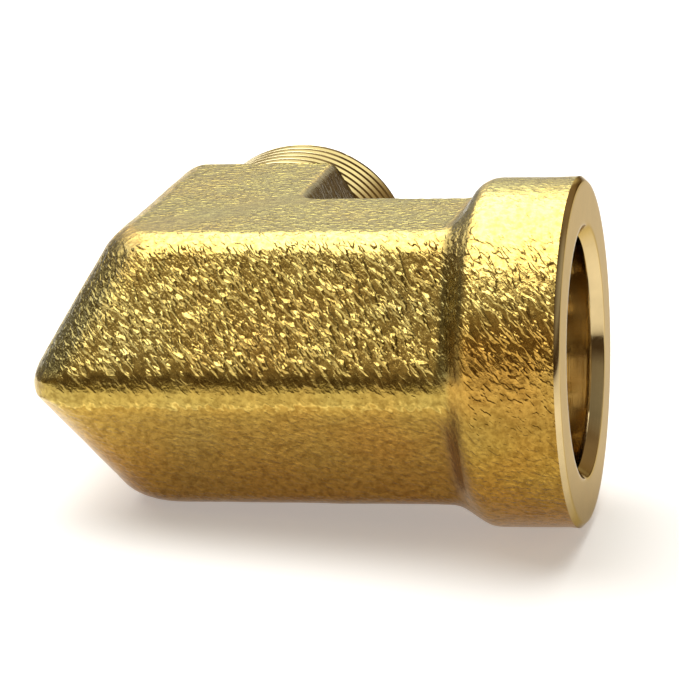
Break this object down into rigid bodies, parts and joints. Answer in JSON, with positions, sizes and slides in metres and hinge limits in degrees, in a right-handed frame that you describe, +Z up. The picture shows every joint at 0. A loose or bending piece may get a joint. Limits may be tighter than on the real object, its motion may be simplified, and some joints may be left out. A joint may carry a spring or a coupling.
{
  "type": "oil burner nozzle",
  "caption": "Right-angle oil burner nozzle: forged brass elbow body with a threaded inlet stub, strainer, anti-drip check valve and a screw-in atomiser cartridge in its round collar.",
  "frame": {"origin": "centre of the collar's mouth face, on the spray axis", "axes": "+X sprays out of the collar's mouth, +Y leaves the male inlet stub, +Z is up, square to the elbow's parting plane"},
  "size_m": [0.0318, 0.0368, 0.0206],
  "materials": {
    "forged_brass": "shot-blasted forging skin, machined at the collar face, mouth and stub",
    "turned_brass": "fine turned",
    "stainless_steel": "ground",
    "sintered_bronze": "porous sinter",
    "bronze_gauze": "woven wire",
    "copper": "annealed copper",
    "elastomer": "moulded"
  },
  "bodies": {
    "elbow": {"elbow_body": "forged_brass", "valve_seat": "turned_brass", "seat_ring": "elastomer", "spring_plate": "turned_brass", "strainer_flange": "turned_brass", "strainer_gauze": "bronze_gauze", "strainer_cap": "turned_brass", "strainer_clip": "stainless_steel", "check_spring": "stainless_steel"},
    "check": {"check_ball": "stainless_steel", "ball_cup": "turned_brass"},
    "seal": {"face_seal": "copper"},
    "cartridge": {"carrier": "turned_brass", "orifice_disc": "stainless_steel", "swirl_disc": "stainless_steel", "lock_screw": "turned_brass", "filter_bush": "turned_brass", "filter_sinter": "sintered_bronze"}
  },
  "joints": [
    {"name": "check_lift", "type": "slide", "parent": "elbow", "child": "check", "axis": [0, -1, 0], "range_m": [0, 0.0012], "stiffness_N_per_m": 1240, "springref_m": -0.0008, "deforming": ["check_spring"]},
    {"name": "cartridge_travel", "type": "slide", "parent": "elbow", "child": "seal", "axis": [1, 0, 0], "range_m": [0, 0.00794]},
    {"name": "cartridge_turn", "type": "hinge", "parent": "seal", "child": "cartridge", "pos_m": [0, 0, 0], "axis": [1, 0, 0], "range_deg": [0, 2702]}
  ],
  "couplings": [
    {"joint": "cartridge_turn", "follows": "cartridge_travel", "rad_per_m": 5938.7}
  ]
}
